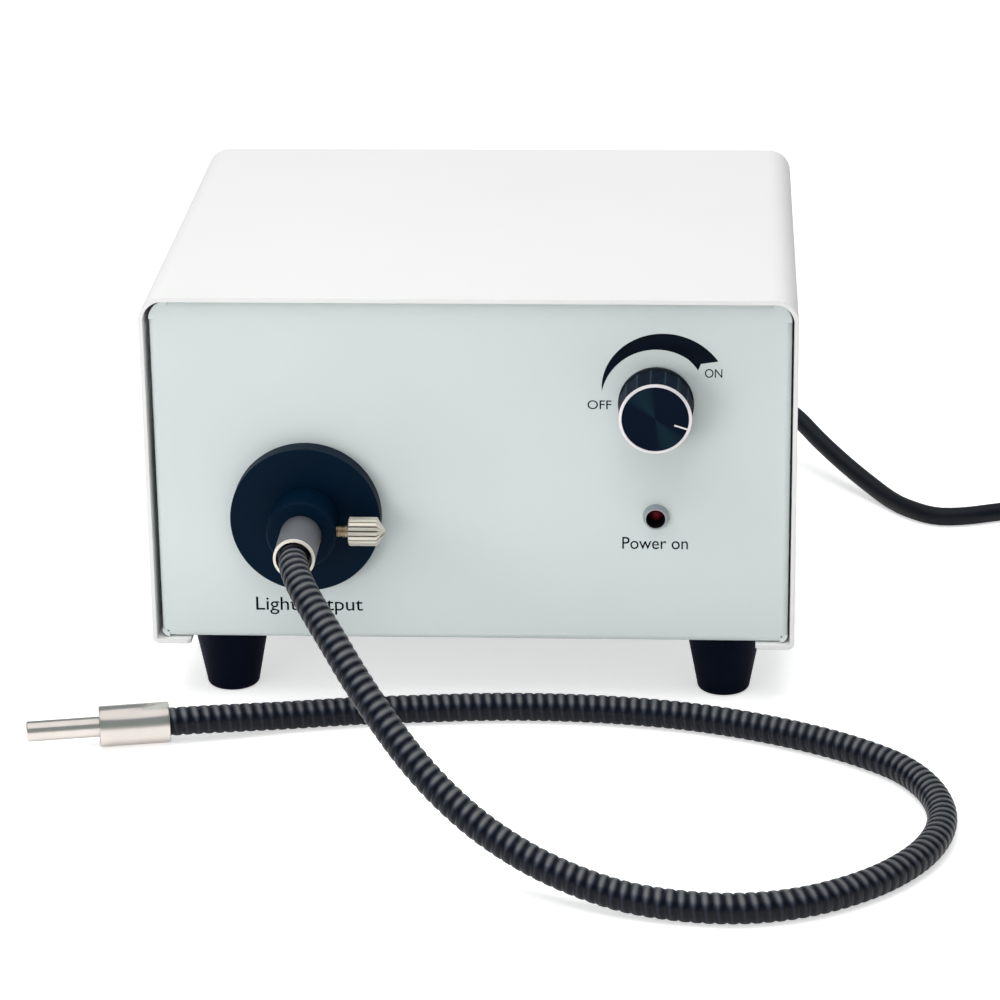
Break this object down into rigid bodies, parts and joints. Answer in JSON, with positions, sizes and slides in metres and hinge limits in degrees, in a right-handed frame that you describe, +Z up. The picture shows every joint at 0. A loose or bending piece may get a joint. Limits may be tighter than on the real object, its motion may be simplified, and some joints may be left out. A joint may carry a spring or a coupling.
{
  "type": "fiber optic illuminator",
  "caption": "Bench light source in a folded sheet metal case, with a dimmer knob, an output port and a ribbed light guide held by a thumb screw.",
  "frame": {"origin": "on the table under the middle of the rigid parts, so that the guide's sleeve and the cord's strain relief reach equally far to front and back", "axes": "+X to the right seen from the front, +Y from the front panel to the rear wall, +Z up; the panel faces -Y"},
  "size_m": [0.4083, 0.3728, 0.1271],
  "materials": {
    "white_paint": "smooth satin white powder coat",
    "grey_paint": "flat pale grey panel paint with printed scale",
    "black_metal": "black anodised, turned",
    "bright_steel": "nickel plated steel",
    "zinc_sheet": "zinc plated sheet",
    "chrome_wire": "bright chrome plated wire",
    "brass": "plain brass",
    "foot_rubber": "matt moulded rubber",
    "sheath": "dark ribbed flexible sheath with a faint sheen",
    "fibre": "polished ends of a packed fibre bundle",
    "knob_black": "fluted satin black plastic",
    "knob_face": "dark spun face with a bright turned rim",
    "lamp_glass": "dichroic coated glass",
    "led_red": "red diffused lens",
    "ceramic": "unglazed white ceramic",
    "core_steel": "varnished laminated steel",
    "winding_tape": "taped copper winding",
    "board_green": "green lacquered board",
    "component": "moulded component bodies",
    "fan_black": "moulded black plastic",
    "cord_black": "smooth satin black cord jacket"
  },
  "bodies": {
    "housing": {"cover": "white_paint", "cover_screws": "bright_steel", "chassis": "grey_paint", "foot_front_left": "foot_rubber", "foot_front_right": "foot_rubber", "foot_rear_left": "foot_rubber", "foot_rear_right": "foot_rubber", "foot_screws": "bright_steel", "port_flange": "black_metal", "port_nut": "black_metal", "pot_body": "zinc_sheet", "pot_nut": "bright_steel", "led_bezel": "bright_steel", "led_lamp": "led_red", "lamp_reflector": "lamp_glass", "lamp_capsule": "lamp_glass", "lamp_socket": "ceramic", "lamp_bracket": "zinc_sheet", "heat_filter": "lamp_glass", "heat_baffle": "zinc_sheet", "transformer_core": "core_steel", "transformer_coil": "winding_tape", "transformer_strap": "zinc_sheet", "dimmer_board": "board_green", "board_posts": "bright_steel", "board_parts": "component", "terminal_block": "ceramic", "fan_frame": "fan_black", "fan_guard": "chrome_wire", "fan_screws": "bright_steel", "fuse_holder": "fan_black", "fuse_nut": "fan_black", "strain_relief": "cord_black", "mains_cord": "cord_black", "mains_coil": "cord_black", "mains_plug": "cord_black", "plug_blades": "brass"},
    "knob": {"knob_body": "knob_black", "knob_cap": "knob_face", "pot_shaft": "bright_steel"},
    "clamp_stud": {"screw_stud": "brass"},
    "clamp_head": {"screw_head": "bright_steel"},
    "light_guide": {"guide_sleeve": "bright_steel", "guide_sheath": "sheath", "fibre_bundle": "fibre", "tip_barrel": "bright_steel", "tip_tube": "bright_steel"},
    "rotor": {"fan_rotor": "fan_black"},
    "fuse_knob": {"fuse_cap": "fan_black"}
  },
  "joints": [
    {"name": "knob_turn", "type": "hinge", "parent": "housing", "child": "knob", "pos_m": [0.0542, -0.07595, 0.0957], "axis": [0, 1, 0], "range_deg": [-240, 30]},
    {"name": "screw_travel", "type": "slide", "parent": "housing", "child": "clamp_stud", "axis": [1, 0, 0], "range_m": [0, 0.0028]},
    {"name": "screw_turn", "type": "hinge", "parent": "clamp_stud", "child": "clamp_head", "pos_m": [-0.035, -0.09025, 0.0605], "axis": [1, 0, 0], "range_deg": [0, 1440]},
    {"name": "guide_pull", "type": "slide", "parent": "housing", "child": "light_guide", "axis": [0, -1, 0], "range_m": [0, 0.034]},
    {"name": "fan_spin", "type": "hinge", "parent": "housing", "child": "rotor", "pos_m": [-0.045, 0.07, 0.0675], "axis": [0, 1, 0], "continuous": true},
    {"name": "fuse_turn", "type": "hinge", "parent": "housing", "child": "fuse_knob", "pos_m": [0.076, 0.083, 0.0655], "axis": [0, 1, 0], "range_deg": [0, 45]}
  ],
  "couplings": [
    {"joint": "screw_turn", "follows": "screw_travel", "rad_per_m": 8976}
  ]
}
